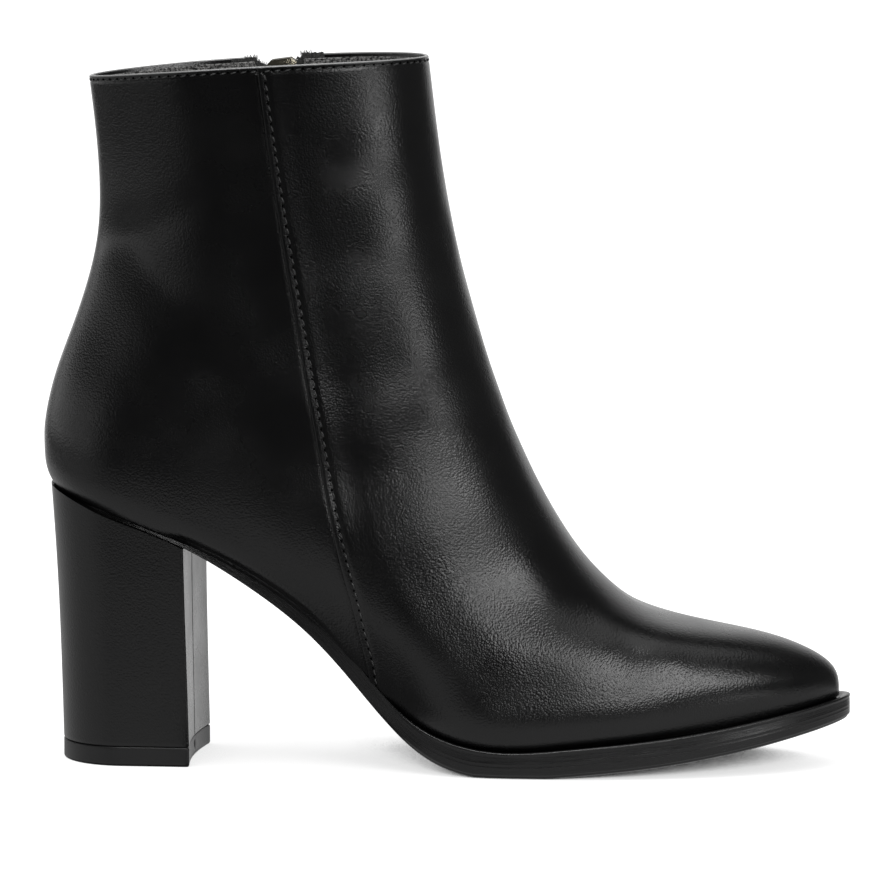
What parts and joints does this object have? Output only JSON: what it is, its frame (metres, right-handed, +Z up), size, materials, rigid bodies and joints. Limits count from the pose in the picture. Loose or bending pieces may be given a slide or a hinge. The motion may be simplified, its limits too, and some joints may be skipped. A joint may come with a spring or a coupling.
{
  "type": "block heel ankle boot",
  "caption": "Right ankle boot of smooth leather with a plain shaft, slim toe, covered block heel, thin sole and a zip on the inner side whose pull tab swings.",
  "frame": {"origin": "middle of the bounding box's base, on the floor that the boot stands on", "axes": "+X toward the toe, +Y toward the inner side of the foot, where the zip is, +Z up"},
  "size_m": [0.2404, 0.078, 0.2102],
  "materials": {
    "upper_leather": "smooth black, satin",
    "sole_rubber": "matte black",
    "insole_leather": "matte black",
    "heel_leather": "smooth black, satin",
    "lift_rubber": "matte black",
    "zip_fabric": "woven black",
    "zip_metal": "pale, polished"
  },
  "bodies": {
    "boot": {"upper": "upper_leather", "outsole": "sole_rubber", "insole": "insole_leather", "heel": "heel_leather", "top_lift": "lift_rubber", "zip_tape_front": "zip_fabric", "zip_tape_back": "zip_fabric", "zip_chain": "zip_metal", "zip_bottom_stop": "zip_metal", "zip_slider": "zip_metal"},
    "pull_tab": {"zip_pull": "zip_metal"}
  },
  "joints": [
    {"name": "pull_swing", "type": "hinge", "parent": "boot", "child": "pull_tab", "pos_m": [-0.05157, 0.02664, 0.20207], "axis": [0.9905, 0.0341, 0.1334], "range_deg": [0, 170]}
  ]
}
